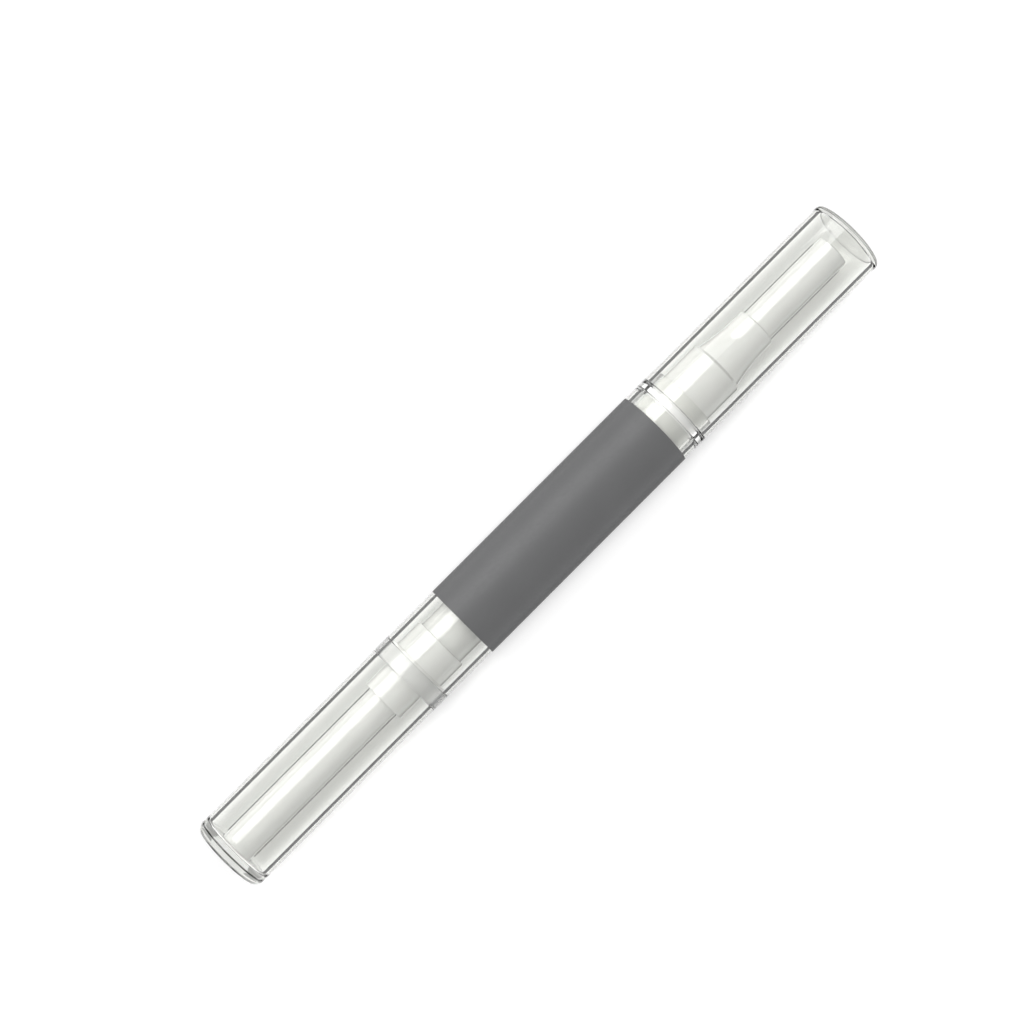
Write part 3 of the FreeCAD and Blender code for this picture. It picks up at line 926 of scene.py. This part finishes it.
def card_material(name, shade, mirrored=False):
    """A matte card. A mirrored one shows only after a reflection, not straight through clear plastic, so
    it paints a dark reflection.
    """
    material, tree, output = new_material(name)
    matte = tree.nodes.new("ShaderNodeBsdfDiffuse")
    matte.inputs["Color"].default_value = (shade, shade, shade, 1)
    surface = matte.outputs["BSDF"]
    if mirrored:
        see = tree.nodes.new("ShaderNodeBsdfTransparent")
        path = tree.nodes.new("ShaderNodeLightPath")
        reflected = math_node(tree, "GREATER_THAN", path.outputs["Glossy Depth"], HALF_BOUNCE)
        surface = mixed(tree, reflected, see.outputs["BSDF"], surface)
    tree.links.new(surface, output.inputs["Surface"])
    return material


def card(name, corners, material):
    """A flat rectangle of the stage, with its corners in millimetres."""
    mesh = bpy.data.meshes.new(name)
    mesh.from_pydata([tuple(value * MM for value in corner) for corner in corners], [], [(0, 1, 2, 3)])
    mesh.materials.append(material)
    piece = bpy.data.objects.new(name, mesh)
    scene.collection.objects.link(piece)
    return piece


def lying(x_low, x_high, y_low, y_high, height):
    """The corners of a card that lies level."""
    return [
        (x_low, y_low, height),
        (x_high, y_low, height),
        (x_high, y_high, height),
        (x_low, y_high, height),
    ]


def upright(x, y_half, z_low, z_high):
    """The corners of a card that stands across the pen's axis."""
    return [(x, -y_half, z_low), (x, y_half, z_low), (x, y_half, z_high), (x, -y_half, z_high)]


card("floor", lying(-FLOOR_HALF, FLOOR_HALF, -FLOOR_HALF, FLOOR_HALF, 0), floor_material())

painted_reflection_flag = card_material("painted_reflection_flag", FLAG_SHADE, mirrored=True)
corner_painted_shadow = card_material("corner_painted_shadow", CORNER_SHADE)
edge_painted_shadow = card_material("edge_painted_shadow", EDGE_SHADE)
flag_end = HALF_LENGTH + FLAG_END_GAP
flag_outer = FLAG_INNER + FLAG_WIDTH
cap_flag = upright(HALF_LENGTH + CAP_FLAG_GAP, CAP_FLAG_HALF, CAP_FLAG_LOW, CAP_FLAG_HIGH)
flags = [card("flag_cap_end", cap_flag, painted_reflection_flag)]
# Each side gets a card that paints dark reflections, a painted contact shadow under the knob's corner,
# and painted shadow lines beside the sleeve and the guard
for side, sign in (("left", 1), ("right", -1)):
    flag = lying(-flag_end, flag_end, sign * FLAG_INNER, sign * flag_outer, FLAG_HEIGHT)
    corner = lying(-CORNER_REAR, -CORNER_FRONT, sign * CORNER_INNER, sign * CORNER_OUTER, FLAG_HEIGHT)
    flags.append(card("flag_" + side, flag, painted_reflection_flag))
    flags.append(card("flag_corner_" + side, corner, corner_painted_shadow))
    for inner_piece, (rear, front) in EDGE_SPANS.items():
        edge = lying(
            rear - HALF_LENGTH, front - HALF_LENGTH, sign * EDGE_INNER, sign * EDGE_OUTER, FLAG_HEIGHT
        )
        flags.append(card("flag_%s_%s" % (inner_piece, side), edge, edge_painted_shadow))
for flag in flags:
    flag.visible_camera = False
    flag.visible_diffuse = False
    flag.visible_shadow = False


# Light: a soft key from the left for the shadows, and a larger one in its place for the gloss, in metres

FILL_STRENGTH = 0.80
LAMP_DISTANCE = 0.6
LAMP_ANGLE = math.radians(42)
LAMP_MIDDLE = 0.018
LAMP_WIDTH = 0.56
KEY_LENGTH = 0.33
KEY_POWER = 1.3
STRIP_LENGTH = 0.46
STRIP_RADIANCE = 3.0
STRIP_POWER = STRIP_RADIANCE * math.pi * STRIP_LENGTH * LAMP_WIDTH


def softbox(name, length, power):
    """A rectangular lamp beside the pen that faces its axis and isn't seen itself."""
    lamp = bpy.data.lights.new(name, "AREA")
    lamp.shape = "RECTANGLE"
    lamp.size = length
    lamp.size_y = LAMP_WIDTH
    lamp.energy = power
    piece = bpy.data.objects.new(name, lamp)
    scene.collection.objects.link(piece)
    piece.location = (
        LAMP_MIDDLE,
        LAMP_DISTANCE * math.sin(LAMP_ANGLE),
        LAMP_DISTANCE * math.cos(LAMP_ANGLE) + AXIS_HEIGHT * MM,
    )
    piece.rotation_euler = (-LAMP_ANGLE, 0, 0)
    piece.visible_camera = False
    return piece


world = bpy.data.worlds.new("studio")
scene.world = world
world.use_nodes = True
air = world.node_tree
air.nodes.clear()
sky = air.nodes.new("ShaderNodeOutputWorld")
fill = air.nodes.new("ShaderNodeBackground")
fill.inputs["Color"].default_value = WHITE
fill.inputs["Strength"].default_value = FILL_STRENGTH
backdrop = air.nodes.new("ShaderNodeBackground")
backdrop.inputs["Color"].default_value = WHITE
choice = mixed(air, seen_directly(air), fill.outputs["Background"], backdrop.outputs["Background"])
air.links.new(choice, sky.inputs["Surface"])

key = softbox("key_softbox", KEY_LENGTH, KEY_POWER)
key.visible_glossy = False
strip = softbox("strip_softbox", STRIP_LENGTH, STRIP_POWER)
strip.visible_diffuse = False


# Camera: straight above, turned so that the pen lies at 45 degrees in the picture

SENSOR = 36.0
PICTURE_PIXELS = 1024
FOCAL_PIXELS = 2520
SHIFT_X_PIXELS = 40.3
SHIFT_Y_PIXELS = 100.4
EYE_X = -13.07
EYE_HEIGHT = 360.0
CLIP_START = 10.0
ROLL = math.radians(-45.05)

camera_data = bpy.data.cameras.new("camera")
camera_data.sensor_width = SENSOR
camera_data.lens = SENSOR * FOCAL_PIXELS / PICTURE_PIXELS
camera_data.shift_x = SHIFT_X_PIXELS / PICTURE_PIXELS
camera_data.shift_y = SHIFT_Y_PIXELS / PICTURE_PIXELS
camera_data.clip_start = CLIP_START * MM
camera = bpy.data.objects.new("camera", camera_data)
scene.collection.objects.link(camera)
camera.location = (EYE_X * MM, 0, EYE_HEIGHT * MM)
camera.rotation_euler = (0, 0, ROLL)
scene.camera = camera
